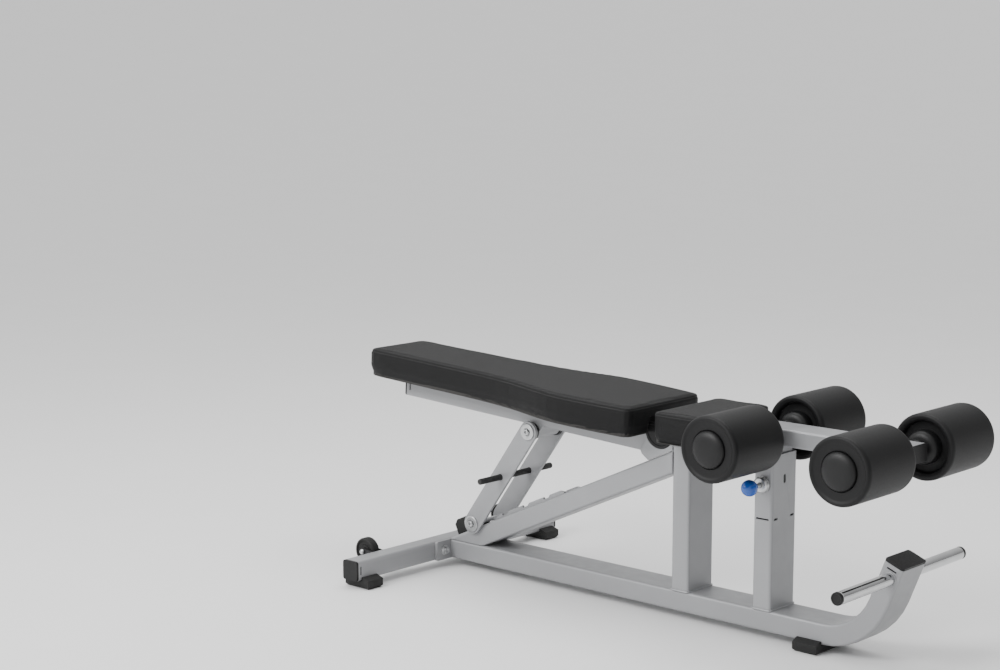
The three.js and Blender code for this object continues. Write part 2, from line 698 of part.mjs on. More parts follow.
const PIN_FACE_Y = -BEAM.width / 2 - GAP;

/** Turned barrel that guides the pin and its spring. */
function pinHousing() {
  const bore = PIN_RADIUS + GAP;
  return turned([[bore, -14], [16, -14], [19, -11], [19, -1.5], [18, 0], [bore, 0], [bore, -14]], 24);
}

/** The pin stands pulled just clear of the sliding post; pushed in, it enters the hole facing it. */
function pinPlunger() {
  const pin = rodY(PIN_RADIUS, 47, 18).translate(0, -10, 0);
  const ball = new THREE.SphereGeometry(19, 16, 10).translate(0, -48, 0);
  return join(pin, ball);
}

place('pop_pin_housing', pinHousing(), ZINC, ROLLER_POST_X, PIN_FACE_Y, PIN_Z);
place('pop_pin', pinPlunger(), BLUE, ROLLER_POST_X, PIN_FACE_Y - 5, PIN_Z);

// ---------------------------------------------------------------- sliding roller carriage

function slidingPost() {
  const bottom = 173;
  const top = CARRIAGE_Z - CARRIAGE.height / 2 - GAP;
  const section = tubeSection(CARRIAGE.height - 2, CARRIAGE.width - 2, 4);
  const tube = extrudeZ(section, top - bottom).translate(0, 0, (top + bottom) / 2);
  const holes = [0, 1, 2, 3, 4].map((i) => rodY(PIN_RADIUS + GAP, 20, 18)
    .translate(0, -CARRIAGE.width / 2, PIN_Z - i * PIN_PITCH));
  return cut(tube, ...holes);
}

place('sliding_post', slidingPost(), SILVER_PAINT, ROLLER_POST_X, 0, 0);

function rollerBeam() {
  const length = CARRIAGE_FRONT_X - CARRIAGE_REAR_X;
  const middle = (CARRIAGE_FRONT_X + CARRIAGE_REAR_X) / 2;
  const tube = extrudeX(tubeSection(CARRIAGE.width, CARRIAGE.height, CARRIAGE.corner), length)
    .translate(middle, 0, 0);
  const bores = [ROLLER_POST_X, FRONT_AXLE_X].map((x) => rodY(AXLE_RADIUS + GAP, 120, 24).translate(x, 0, 0));
  return cut(tube, ...bores);
}

place('roller_beam', rollerBeam(), SILVER_PAINT, 0, 0, CARRIAGE_Z);

[['front', CARRIAGE_FRONT_X, 1], ['rear', CARRIAGE_REAR_X, -1]].forEach(([end, x, sign]) => {
  const cap = place(`roller_beam_cap_${end}`, endCap(CARRIAGE.height, CARRIAGE.width, CARRIAGE.corner, 4, 12),
    PLASTIC, x, 0, CARRIAGE_Z);
  cap.rotation.y = sign * Math.PI / 2;
});

/** One foam leg roller: rounded rims and, at its outer end, a ring-shaped recess. */
function foamRoller() {
  const h = ROLLER.length / 2;
  const r = ROLLER.radius;
  const rim = 12;
  return turned([
    [ROLLER.bore, -h],
    [r - rim, -h],
    [r - rim * 0.3, -h + rim * 0.3],
    [r, -h + rim],
    [r, h - rim],
    [r - rim * 0.3, h - rim * 0.3],
    [r - rim, h],
    [59, h],
    [56, h - 6],
    [47, h - 6],
    [44, h],
    [ROLLER.bore, h],
    [ROLLER.bore, -h],
  ], 22);
}

/** Domed hub on the roller's outer end that turns with it on the axle. Dome faces +Y. */
function rollerHub() {
  return turned([
    [AXLE_RADIUS + GAP, -30],
    [ROLLER.bore - GAP, -30],
    [ROLLER.bore - GAP, GAP],
    [42, GAP],
    [42, 4],
    [36, 10],
    [0, 13],
    [0, 8],
    [AXLE_RADIUS + GAP, 8],
    [AXLE_RADIUS + GAP, -30],
  ], 20);
}

const AXLE_HALF = ROLLER.inner + ROLLER.length + 5;

[['rear', ROLLER_POST_X], ['front', FRONT_AXLE_X]].forEach(([row, x]) => {
  place(`roller_axle_${row}`, rodY(AXLE_RADIUS, 2 * AXLE_HALF, 24), ZINC, x, 0, CARRIAGE_Z);
  bothSides((side, sign) => {
    const y = sign * (ROLLER.inner + ROLLER.length / 2);
    const foam = place(`foam_roller_${row}_${side}`, foamRoller(), FOAM, x, y, CARRIAGE_Z);
    const hub = place(`roller_hub_${row}_${side}`, rollerHub(), PLASTIC, x,
      sign * (ROLLER.inner + ROLLER.length), CARRIAGE_Z);
    [foam, hub].forEach((piece) => {
      piece.rotation.x = sign < 0 ? Math.PI : 0;
    });
  });
});

export default bench;
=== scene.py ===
"""Looks of the adjustable weight bench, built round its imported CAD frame. Metres, +Z up."""
import json
import math

import bmesh
import bpy
import numpy as np
from mathutils import Matrix, Vector
from mathutils.bvhtree import BVHTree
from mathutils.kdtree import KDTree


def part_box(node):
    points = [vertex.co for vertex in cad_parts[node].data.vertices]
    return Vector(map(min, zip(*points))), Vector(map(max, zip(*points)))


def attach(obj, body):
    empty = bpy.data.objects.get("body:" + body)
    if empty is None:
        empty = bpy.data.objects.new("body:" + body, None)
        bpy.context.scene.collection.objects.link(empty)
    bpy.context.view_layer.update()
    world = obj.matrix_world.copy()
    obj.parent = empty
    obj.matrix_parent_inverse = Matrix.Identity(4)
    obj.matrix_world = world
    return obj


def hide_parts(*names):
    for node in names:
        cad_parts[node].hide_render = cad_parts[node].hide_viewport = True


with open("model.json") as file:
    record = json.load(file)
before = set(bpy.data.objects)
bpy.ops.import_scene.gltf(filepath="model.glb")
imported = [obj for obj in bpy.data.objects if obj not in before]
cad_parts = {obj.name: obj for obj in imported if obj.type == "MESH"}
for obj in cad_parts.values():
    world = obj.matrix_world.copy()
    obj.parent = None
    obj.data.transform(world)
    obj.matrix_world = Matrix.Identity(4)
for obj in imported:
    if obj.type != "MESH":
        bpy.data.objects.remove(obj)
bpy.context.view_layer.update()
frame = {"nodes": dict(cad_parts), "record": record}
scene = bpy.context.scene

X_AXIS, Y_AXIS, Z_AXIS = Vector((1, 0, 0)), Vector((0, 1, 0)), Vector((0, 0, 1))
JOINTS = {joint["name"]: joint for joint in frame["record"]["behaviour"]["joints"]}
HINGE = Vector(JOINTS["backrest_tilt"]["pos_m"])
TILT = math.radians(2.9)                  # the backrest's head end stands this much above level
INCLINE = math.radians(24.7)
SIDES = (("left", 1), ("right", -1))


# ------------------------------------------------------------------ node materials

class Shader:
    """A Principled material and short calls for the nodes that feed it."""

    def __init__(self, name, color, roughness, metallic=0.0, **sockets):
        self.material = bpy.data.materials.new(name)
        self.material.use_nodes = True
        self.tree = self.material.node_tree
        self.bsdf = self.tree.nodes["Principled BSDF"]
        self.bsdf.inputs["Base Color"].default_value = (*color, 1)
        self.bsdf.inputs["Roughness"].default_value = roughness
        self.bsdf.inputs["Metallic"].default_value = metallic
        for socket, value in sockets.items():
            self.bsdf.inputs[socket.replace("_", " ")].default_value = value
        self.coords = self.tree.nodes.new("ShaderNodeTexCoord").outputs["Object"]

    def node(self, kind, inputs=(), **settings):
        made = self.tree.nodes.new(kind)
        for key, value in settings.items():
            setattr(made, key, value)
        for key, value in dict(inputs).items():
            if isinstance(value, bpy.types.NodeSocket):
                self.tree.links.new(value, made.inputs[key])
            else:
                made.inputs[key].default_value = value
        return made

    def link(self, output, socket):
        self.tree.links.new(output, self.bsdf.inputs[socket])

    def stretched(self, scale):
        return self.node("ShaderNodeMapping", {"Vector": self.coords, "Scale": scale}).outputs[0]

    def noise(self, scale, detail=2.0, vector=None, rough=0.5):
        return self.node("ShaderNodeTexNoise", {
            "Vector": vector or self.coords, "Scale": scale, "Detail": detail, "Roughness": rough,
        }).outputs["Fac"]

    def ramp(self, value, low, high, start=0.0, end=1.0):
        return self.node("ShaderNodeMapRange", {
            "Value": value, "From Min": low, "From Max": high, "To Min": start, "To Max": end,
        }).outputs[0]

    def mix(self, factor, first, second):
        made = self.node("ShaderNodeMix", data_type="RGBA")
        for index, value in ((0, factor), (6, first), (7, second)):
            if isinstance(value, bpy.types.NodeSocket):
                self.tree.links.new(value, made.inputs[index])
            elif index:
                made.inputs[index].default_value = (*value, 1)
            else:
                made.inputs[index].default_value = value
        return made.outputs[2]

    def bump(self, height, distance, strength=1.0, normal=None):
        inputs = {"Height": height, "Distance": distance, "Strength": strength}
        if normal:
            inputs["Normal"] = normal
        return self.node("ShaderNodeBump", inputs).outputs[0]

    def mottle(self, scale, detail, low, high):
        """Base colour that drifts between two shades."""
        self.link(self.mix(self.ramp(self.noise(scale, detail), 0.3, 0.7), low, high), "Base Color")

    def scuff(self, scale, detail, low, high):
        """Roughness that drifts between two values."""
        self.link(self.ramp(self.noise(scale, detail), 0.3, 0.7, low, high), "Roughness")

    def edges(self, low=0.51, high=0.56):
        """1 on convex edges, 0 elsewhere."""
        geometry = self.node("ShaderNodeNewGeometry")
        return self.ramp(geometry.outputs["Pointiness"], low, high)


def silver_paint():
    s = Shader("silver_paint", (0.27, 0.272, 0.28), 0.42, 0.25)
    flake = s.noise(2600, 1)
    tint = s.mix(s.ramp(s.noise(6, 3), 0.3, 0.7), (0.26, 0.262, 0.27), (0.285, 0.288, 0.297))
    speck = s.mix(s.ramp(flake, 0.4, 0.75, 0.0, 0.2), tint, (0.44, 0.445, 0.46))
    s.link(s.mix(s.ramp(s.edges(), 0, 1, 0, 0.3), speck, (0.37, 0.375, 0.385)), "Base Color")
    s.scuff(38, 4, 0.36, 0.48)
    peel = s.bump(s.noise(420, 2), 0.0004, 0.10)
    s.link(s.bump(flake, 0.0001, 0.12, peel), "Normal")
    return s.material


def bright_zinc():
    s = Shader("bright_zinc", (0.52, 0.525, 0.53), 0.3, 1.0)
    brushed = s.noise(60, 3, s.stretched((1, 30, 1)))
    s.mottle(45, 3, (0.46, 0.465, 0.47), (0.58, 0.585, 0.59))
    s.link(s.ramp(brushed, 0.25, 0.75, 0.22, 0.42), "Roughness")
    s.link(s.bump(brushed, 0.0002, 0.2), "Normal")
    return s.material


def chrome():
    s = Shader("chrome", (0.62, 0.625, 0.63), 0.12, 1.0)
    scratch = s.noise(30, 4, s.stretched((70, 2, 70)))
    s.mottle(12, 2, (0.56, 0.565, 0.57), (0.66, 0.665, 0.67))
    s.link(s.ramp(scratch, 0.3, 0.8, 0.08, 0.2), "Roughness")
    s.link(s.bump(scratch, 0.0001, 0.08), "Normal")
    return s.material


def grained(name, low, high, roughness, grain, depth):
    """Upholstery vinyl: grain cells between fine creases."""
    s = Shader(name, low, roughness, Specular_IOR_Level=0.22)
    cells = s.node("ShaderNodeTexVoronoi", {"Vector": s.coords, "Scale": grain},
                   feature="DISTANCE_TO_EDGE")
    cell = s.ramp(cells.outputs["Distance"], 0.0, 0.22)
    s.mottle(5, 2, low, high)
    s.scuff(grain * 0.5, 2, roughness - 0.03, roughness + 0.03)
    s.link(s.bump(s.noise(grain * 2.6, 2), depth * 0.5, 0.25, s.bump(cell, depth, 0.6)), "Normal")
    return s.material


def foam_skin():
    s = Shader("foam_skin", (0.006, 0.006, 0.0063), 0.5, Specular_IOR_Level=0.25)
    s.mottle(6, 2, (0.0048, 0.0048, 0.0051), (0.0068, 0.0068, 0.0072))
    s.scuff(350, 2, 0.47, 0.54)
    pores = s.node("ShaderNodeTexVoronoi", {"Vector": s.coords, "Scale": 900.0}).outputs["Distance"]
    s.link(s.bump(s.noise(140, 2), 0.0004, 0.08, s.bump(pores, 0.0002, 0.2)), "Normal")
    return s.material


def moulded(name, low, high, roughness, grain=900.0, strength=0.25):
    s = Shader(name, low, roughness, Specular_IOR_Level=0.3)
    s.mottle(20, 3, low, high)
    s.scuff(200, 3, roughness - 0.05, roughness + 0.06)
    s.link(s.bump(s.noise(grain, 2), 0.0003, strength), "Normal")
    return s.material


def grip():
    s = Shader("grip_rubber", (0.014, 0.014, 0.014), 0.7)
    rings = s.node("ShaderNodeTexWave", {"Vector": s.coords, "Scale": 55.0, "Distortion": 0.2},
                   bands_direction="Y")
    s.mottle(80, 3, (0.011, 0.011, 0.011), (0.022, 0.022, 0.022))
    s.scuff(120, 2, 0.62, 0.8)
    s.link(s.bump(rings.outputs["Fac"], 0.0008, 0.5), "Normal")
    return s.material


def plywood():
    """Birch ply under a thin black stain: plies show as fine lines on its edge."""
    s = Shader("plywood", (0.020, 0.019, 0.018), 0.6)
    plies = s.node("ShaderNodeTexWave", {"Vector": s.coords, "Scale": 95.0, "Distortion": 0.6},
                   bands_direction="Z")
    fibre = s.noise(40, 5, s.stretched((1, 14, 14)))
    stain = s.mix(fibre, (0.014, 0.013, 0.012), (0.030, 0.028, 0.026))
    glue_line = s.ramp(plies.outputs["Fac"], 0.35, 0.65, 0, 0.5)
    s.link(s.mix(glue_line, stain, (0.010, 0.009, 0.009)), "Base Color")
    s.link(s.ramp(fibre, 0.2, 0.8, 0.5, 0.75), "Roughness")
    s.link(s.bump(fibre, 0.0005, 0.3), "Normal")
    return s.material


def blue_knob():
    s = Shader("blue_knob", (0.008, 0.08, 0.42), 0.2, Coat_Weight=0.4, Coat_Roughness=0.06)
    s.mottle(30, 2, (0.006, 0.07, 0.38), (0.010, 0.10, 0.48))
    s.scuff(90, 3, 0.12, 0.22)
    s.link(s.bump(s.noise(160, 2), 0.0002, 0.08), "Normal")
    return s.material


LOOKS = {
    "silver_paint": silver_paint(),
    "zinc_steel": bright_zinc(),
    "chrome": chrome(),
    "vinyl": grained("vinyl", (0.0028, 0.0028, 0.0030), (0.0038, 0.0038, 0.0041), 0.54, 620.0, 0.0004),
    "foam": foam_skin(),
    "black_plastic": moulded("black_plastic", (0.005, 0.005, 0.0053), (0.0075, 0.0075, 0.0079), 0.42),
    "rubber": moulded("rubber", (0.011, 0.011, 0.011), (0.017, 0.017, 0.0165), 0.62, 500.0, 0.4),
    "grip_rubber": grip(),
    "plywood": plywood(),
    "black_paint": moulded("black_paint", (0.010, 0.010, 0.0105), (0.014, 0.014, 0.0145), 0.36,
                           420.0, 0.12),
    "blue_plastic": blue_knob(),
}
THREAD = moulded("seam_thread", (0.012, 0.012, 0.012), (0.02, 0.02, 0.02), 0.6, 1500.0, 0.5)


# ------------------------------------------------------------------ mesh building

def circle(count):
    """Cosine and sine of evenly spaced turns."""
    return [(math.cos(2 * math.pi * k / count), math.sin(2 * math.pi * k / count)) for k in range(count)]


def piece(name, verts, faces, body, slot, look=None, sharp=38):
    """A new object at rest in the row frame, riding on a CAD body."""
    mesh = bpy.data.meshes.new(name)
    mesh.from_pydata([tuple(v) for v in verts], [], faces)
    mesh.validate()
    recalculated = bmesh.new()
    recalculated.from_mesh(mesh)
    bmesh.ops.recalc_face_normals(recalculated, faces=recalculated.faces)
    recalculated.to_mesh(mesh)
    recalculated.free()
    mesh.polygons.foreach_set("use_smooth", [True] * len(mesh.polygons))
    mesh.set_sharp_from_angle(angle=math.radians(sharp))
    obj = bpy.data.objects.new(name, mesh)
    scene.collection.objects.link(obj)
    mesh.materials.append(look or LOOKS[slot])
    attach(obj, body)
    return obj


def loft(rings, closed=False, start=0):
    """Faces between rings of equal length; open lofts get a cap at each end."""
    n, count = len(rings[0]), len(rings)
    faces = []
    for i in range(count if closed else count - 1):
        a, b = start + i * n, start + ((i + 1) % count) * n
        faces += [(a + j, a + (j + 1) % n, b + (j + 1) % n, b + j) for j in range(n)]
    if not closed:
        faces += [tuple(range(start + n - 1, start - 1, -1)),
                  tuple(range(start + (count - 1) * n, start + count * n))]
    return [v for ring in rings for v in ring], faces


def turned(profile, origin, axis, sides=64):
    """A surface turned about a line, from (radius, distance) pairs in metres that run from axis to axis."""
    axis = Vector(axis).normalized()
    u = axis.orthogonal().normalized()
    v = axis.cross(u)
    verts = []
    faces = []
    rings = []
    for radius, along in profile:
        centre = Vector(origin) + axis * along
        if radius < 1e-7:
            rings.append([len(verts)])
            verts.append(centre)
            continue
        rings.append(list(range(len(verts), len(verts) + sides)))
        verts += [centre + (u * cos + v * sin) * radius for cos, sin in circle(sides)]
    for a, b in zip(rings, rings[1:]):
        for k in range(sides):
            m = (k + 1) % sides
            if len(a) == 1 and len(b) == 1:
                continue
            if len(a) == 1:
                faces.append((a[0], b[m], b[k]))
            elif len(b) == 1:
                faces.append((a[k], a[m], b[0]))
            else:
                faces.append((a[k], a[m], b[m], b[k]))
    return verts, faces


def fillet(points, radius, steps=4):
    """A profile with every corner between its two ends rounded."""
    points = [Vector(p) for p in points]
    out = [points[0]]
    for before, corner, after in zip(points, points[1:], points[2:]):
        reach = min(radius, (before - corner).length * 0.45, (after - corner).length * 0.45)
        a = corner + (before - corner).normalized() * reach
        b = corner + (after - corner).normalized() * reach
        for i in range(steps + 1):
            t = i / steps
            out.append(a * (1 - t) ** 2 + corner * 2 * t * (1 - t) + b * t * t)
    out.append(points[-1])
    return [tuple(p) for p in out]


def merged(*parts):
    """Several vertex and face lists as one."""
    verts = []
    faces = []
    for part_verts, part_faces in parts:
        shift = len(verts)
        verts += list(part_verts)
        faces += [tuple(i + shift for i in face) for face in part_faces]
    return verts, faces


def rounded_rect(width, height, radius, steps=6):
    """Corner-rounded rectangle as (across, up) pairs."""
    out = []
    for cx, cy, start in ((1, -1, -90), (1, 1, 0), (-1, 1, 90), (-1, -1, 180)):
        for i in range(steps + 1):
            turn = math.radians(start + 90 * i / steps)
            out.append((cx * (width / 2 - radius) + radius * math.cos(turn),
                        cy * (height / 2 - radius) + radius * math.sin(turn)))
    return out


def bead(points, radius, pitch=0.0035, closed=True):
    """A weld bead along a path, rippled by its overlapping puddles."""
    path = [Vector(p) for p in points]
    if closed:
        path.append(path[0])
    stations = []
    for a, b in zip(path, path[1:]):
        steps = max(1, round((b - a).length / (pitch / 3)))
        stations += [a.lerp(b, i / steps) for i in range(steps)]
    if not closed:
        stations.append(path[-1])
    rings = []
    count = len(stations)
    travelled = 0.0
    for i, at in enumerate(stations):
        after = stations[(i + 1) % count] if closed or i + 1 < count else at
        before = stations[i - 1] if closed or i else at
        along = (after - before).normalized()
        side = along.orthogonal().normalized()
        other = along.cross(side)
        travelled += (at - stations[i - 1]).length if i else 0
        puddle = radius * (0.86 + 0.14 * abs(math.sin(math.pi * travelled / pitch)))
        rings.append([at + (side * cos + other * sin) * puddle for cos, sin in circle(8)])
    return loft(rings, closed)


def rod_profile(radius, half, chamfer):
    """Profile of a rod with chamfered ends, for turning about its middle."""
    return [(0, -half), (radius - chamfer, -half), (radius, -half + chamfer), (radius, half - chamfer),
            (radius - chamfer, half), (0, half)]


# ------------------------------------------------------------------ CAD nodes that keep their own shape

def soften_group():
    """Geometry nodes that weld a CAD mesh's corners together and shade it smooth up to 47 degrees."""
    group = bpy.data.node_groups.new("soften", "GeometryNodeTree")
    group.interface.new_socket("Geometry", in_out="INPUT", socket_type="NodeSocketGeometry")
    group.interface.new_socket("Geometry", in_out="OUTPUT", socket_type="NodeSocketGeometry")
    nodes, link = group.nodes, group.links.new
    source, target = nodes.new("NodeGroupInput"), nodes.new("NodeGroupOutput")
    weld = nodes.new("GeometryNodeMergeByDistance")
    weld.inputs["Distance"].default_value = 0.00002
    smooth = nodes.new("GeometryNodeSetShadeSmooth")
    crease = nodes.new("GeometryNodeSetShadeSmooth")
    crease.domain = "EDGE"
    crease.inputs["Shade Smooth"].default_value = False
    angle = nodes.new("GeometryNodeInputMeshEdgeAngle")
    steep = nodes.new("FunctionNodeCompare")
    steep.operation = "GREATER_THAN"
    steep.inputs["B"].default_value = math.radians(47)
    link(angle.outputs["Unsigned Angle"], steep.inputs["A"])
    link(source.outputs[0], weld.inputs["Geometry"])
    link(weld.outputs[0], smooth.inputs["Geometry"])
    link(smooth.outputs[0], crease.inputs["Geometry"])
    link(steep.outputs["Result"], crease.inputs["Selection"])
    link(crease.outputs[0], target.inputs[0])
    return group


SOFTEN = soften_group()
SUBPARTS = {row["node"]: row["material_slot"] for row in frame["record"]["subparts"]}


def finish_node(name, edge=0.0007):
    """Gives a CAD node its material, softened hard edges and clean shading."""
    obj = frame["nodes"][name]
    look = LOOKS[SUBPARTS[name]]
    obj.data.materials.clear()
    obj.data.materials.append(look)
    obj.modifiers.new("soften", "NODES").node_group = SOFTEN
    planar = obj.modifiers.new("planar", "DECIMATE")
    planar.decimate_type = "DISSOLVE"
    planar.angle_limit = math.radians(0.6)
    if edge:
        bevel = obj.modifiers.new("edge", "BEVEL")
        bevel.width = edge
        bevel.segments = 2
        bevel.limit_method = "ANGLE"
        bevel.angle_limit = math.radians(55)
        bevel.use_clamp_overlap = True
        bevel.harden_normals = True
    weighted = obj.modifiers.new("weighted", "WEIGHTED_NORMAL")
    weighted.keep_sharp = True


# ------------------------------------------------------------------ soft goods

WRAP_LIFT = 0.0006                        # the cover ends this far above the underside of the board
BLOCK_EDGE = 0.0105                       # rim radius of the plain foam blocks
TOP_EDGE, BOTTOM_EDGE = 0.0045, 0.0010    # the tighter rims of a covered cushion
SEAM_DROP = 0.0062                        # from the cushion's top down to its welt
STITCH_DROP = 0.0070                      # from the welt down to the stitch row


def hinge_frame(points, back=False):
    """Turns points between the row frame and the level frame of the tilted backrest."""
    turn = Matrix.Rotation(TILT if back else -TILT, 3, "Y")
    return [HINGE + turn @ (Vector(p) - HINGE) for p in points]


def evaluated_mesh(obj):
    graph = bpy.context.evaluated_depsgraph_get()
    return bpy.data.meshes.new_from_object(obj.evaluated_get(graph))


def coordinates(mesh):
    out = np.empty(len(mesh.vertices) * 3, np.float64)
    mesh.vertices.foreach_get("co", out)
    return out.reshape(-1, 3)


def swell(obj, cap, pressure=4.0, frames=20):
    """Blows the cushion up a little with cloth pressure; no point moves further than cap."""
    before = coordinates(obj.data)
    cloth = obj.modifiers.new("swell", "CLOTH")
    settings = cloth.settings
    settings.use_pressure = True
    settings.uniform_pressure_force = pressure
    settings.effector_weights.gravity = 0
    settings.quality = 4
    settings.tension_stiffness = 25
    settings.bending_stiffness = 2
    cloth.point_cache.frame_start, cloth.point_cache.frame_end = 1, frames
    for step in range(1, frames + 1):
        scene.frame_set(step)
    swollen = evaluated_mesh(obj)
    moved = coordinates(swollen) - before
    bpy.data.meshes.remove(swollen)
    obj.modifiers.remove(cloth)
    scene.frame_set(1)
    normals = np.array([v.normal for v in obj.data.vertices])
    outward_move = np.clip((moved * normals).sum(1), 0, cap)[:, None]
    return normals * outward_move


def node_geometry(node, tilted):
    """Points and faces of a CAD node, in the level frame of the backrest where it is tilted."""
    mesh = frame["nodes"][node].data
    verts = [v.co.copy() for v in mesh.vertices]
    return np.array(hinge_frame(verts) if tilted else verts), [tuple(p.vertices) for p in mesh.polygons]


def nearest_outline(outline):
    """Looks up, for a point, how far the outline lies from it and which way is out there."""
    directions = outward(outline)
    tree = KDTree(len(outline))
    for i, point in enumerate(outline):
        tree.insert((point.x, point.y, 0), i)
    tree.balance()

    def look_up(point):
        index, distance = tree.find((point[0], point[1], 0))[1:]
        return np.array(directions[index]), distance
    return look_up


def tighten(points, look_up):
    """Gives the rounded rims of a foam block smaller radii, its sides staying where they are."""
    low, high = points[:, 2].min(), points[:, 2].max()
    for point in points:
        for level, sign, edge in ((high, 1, TOP_EDGE), (low, -1, BOTTOM_EDGE)):
            drop = (level - point[2]) * sign
            if drop < BLOCK_EDGE:
                inset = BLOCK_EDGE - math.sqrt(max(0, BLOCK_EDGE ** 2 - (BLOCK_EDGE - drop) ** 2))
                out, _ = look_up(point)
                point += out * (BLOCK_EDGE - edge) * inset / BLOCK_EDGE
                point[2] = level - sign * drop * edge / BLOCK_EDGE


def padded_block(node, board, tilted):
    """The foam block and, under it, its board grown to the block's edge, for the cover to wrap."""
    foam, foam_faces = node_geometry(node, tilted)
    base, base_faces = node_geometry(board, tilted)
    plain = bpy.data.meshes.new("block")
    plain.from_pydata([tuple(v) for v in foam], [], foam_faces)
    look_up = nearest_outline(slice_loop(plain, (foam[:, 2].min() + foam[:, 2].max()) / 2))
    bpy.data.meshes.remove(plain)
    grow = (foam[:, 1].max() - base[:, 1].max()) - 0.0002
    tighten(foam, look_up)
    foam_low = foam[:, 2].min()
    low, high = base[:, 2].min(), base[:, 2].max()
    for point in base:
        out, distance = look_up(point)
        if distance < 2 * grow + 0.002:
            point += out * grow
        point[2] = low + WRAP_LIFT + (point[2] - low) / (high - low) * (foam_low + 0.004 - low - WRAP_LIFT)
    verts = [tuple(v) for v in foam] + [tuple(v) for v in base]
    return verts, [], foam_faces + [tuple(i + len(foam) for i in face) for face in base_faces]


def subdivided(obj, points):
    """The object's mesh once subdivided, its vertices first set to the given points."""
    obj.data.vertices.foreach_set("co", points.ravel())
    obj.data.update()
    finer = obj.modifiers.new("finer", "SUBSURF")
    finer.levels = finer.render_levels = 1
    made = evaluated_mesh(obj)
    obj.modifiers.remove(finer)
    return made


def upholstered(name, node, board, body, voxel, cap, tilted):
    """A cushion grown from its CAD block: remeshed, blown up on its open sides, creased at its seam."""
    mesh = bpy.data.meshes.new(name)
    verts, edges, faces = padded_block(node, board, tilted)
    block = BVHTree.FromPolygons(verts, faces)
    mesh.from_pydata(verts, edges, faces)
    welded = bmesh.new()
    welded.from_mesh(mesh)
    bmesh.ops.remove_doubles(welded, verts=welded.verts, dist=0.00002)
    welded.to_mesh(mesh)
    welded.free()
    obj = bpy.data.objects.new(name, mesh)
    scene.collection.objects.link(obj)
    remesh = obj.modifiers.new("remesh", "REMESH")
    remesh.mode = "VOXEL"
    remesh.voxel_size = voxel
    relax = obj.modifiers.new("relax", "SMOOTH")
    relax.iterations = 2
    relax.factor = 0.5
    fine = evaluated_mesh(obj)
    obj.modifiers.clear()
    obj.data = fine
    base = coordinates(fine)
    low, top = base[:, 2].min(), base[:, 2].max()
    blown = base
    lift = np.clip((base[:, 2] - low - 0.004) / 0.02, 0, 1)[:, None]
    blown = base + swell(obj, cap) * lift
    blown[:, 2] = np.minimum(blown[:, 2], top + cap)
    flat = coordinates(subdivided(obj, base))
    smooth = subdivided(obj, blown)
    rim = np.array([block.find_nearest(point)[0] for point in flat]) - flat
    above = flat[:, 2] - low
    rim *= np.clip(np.maximum((above - 0.020) / 0.008, (0.007 - above) / 0.002), 0, 1)[:, None]
    smooth.vertices.foreach_set("co", (coordinates(smooth) + rim).ravel())
    smooth.update()
    obj.data = smooth
    seam_z = top - SEAM_DROP
    crease_seam(smooth, seam_z)
    loop = slice_loop(smooth, seam_z)
    tape = slice_loop(smooth, seam_z - STITCH_DROP)
    if tilted:
        turned_back = hinge_frame([v.co for v in smooth.vertices], back=True)
        smooth.vertices.foreach_set("co", np.array(turned_back).ravel())
    smooth.polygons.foreach_set("use_smooth", [True] * len(smooth.polygons))
    smooth.materials.clear()
    smooth.materials.append(LOOKS["vinyl"])
    smooth.update()
    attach(obj, body)
    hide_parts(node)
    piece(f"{name}_welt", *cord_loop(loop, 0.0013, tilted), body, "vinyl", THREAD)
    piece(f"{name}_stitches", *stitch_row(tape, tilted), body, "vinyl", THREAD)


def crease_seam(mesh, height, width=0.003, depth=0.0012):
    """Draws the cover in along a level seam line round the cushion's sides."""
    for v in mesh.vertices:
        near = 1 - abs(v.co.z - height) / width
        if near > 0 and abs(v.normal.z) < 0.9:
            v.co -= v.normal * depth * near * near
    mesh.update()


def slice_loop(mesh, height):
    """Ordered points where a level plane cuts the cushion."""
    cut = bmesh.new()
    cut.from_mesh(mesh)
    found = bmesh.ops.bisect_plane(cut, geom=cut.verts[:] + cut.edges[:] + cut.faces[:],
                                   plane_co=(0, 0, height), plane_no=(0, 0, 1))["geom_cut"]
    edges = [e for e in found if isinstance(e, bmesh.types.BMEdge)]
    neighbours = {}
    for e in edges:
        a, b = e.verts
        neighbours.setdefault(a, []).append(b)
        neighbours.setdefault(b, []).append(a)
    best = []
    unseen = dict.fromkeys(neighbours)
    while unseen:
        chain = [next(iter(unseen))]
        del unseen[chain[0]]
        while True:
            ahead = [v for v in neighbours[chain[-1]] if v in unseen]
            if not ahead:
                break
            chain.append(ahead[0])
            del unseen[ahead[0]]
        if len(chain) > len(best):
            best = chain
    points = [v.co.copy() for v in best]
    cut.free()
    return resample(points, 0.004)


def resample(points, step):
    """Evenly spaced, lightly smoothed points along a closed loop."""
    closed = points + points[:1]
    lengths = [0.0]
    for a, b in zip(closed, closed[1:]):
        lengths.append(lengths[-1] + (b - a).length)
    count = max(8, round(lengths[-1] / step))
    array = np.array(closed)
    at = np.linspace(0, lengths[-1], count, endpoint=False)
    even = np.stack([np.interp(at, lengths, array[:, k]) for k in range(3)], 1)
    for _ in range(3):
        even = (np.roll(even, 1, 0) + 2 * even + np.roll(even, -1, 0)) / 4
    return [Vector(p) for p in even]


def outward(points):
    """Level outward direction at each point of a closed loop."""
    count = len(points)
    middle = sum(points, Vector()) / count
    area = sum((points[i] - middle).cross(points[(i + 1) % count] - middle).z for i in range(count))
    sign = 1 if area > 0 else -1
    out = []
    for i in range(count):
        along = (points[(i + 1) % count] - points[i - 1]).normalized()
        out.append(Vector((along.y, -along.x, 0)).normalized() * sign)
    return out


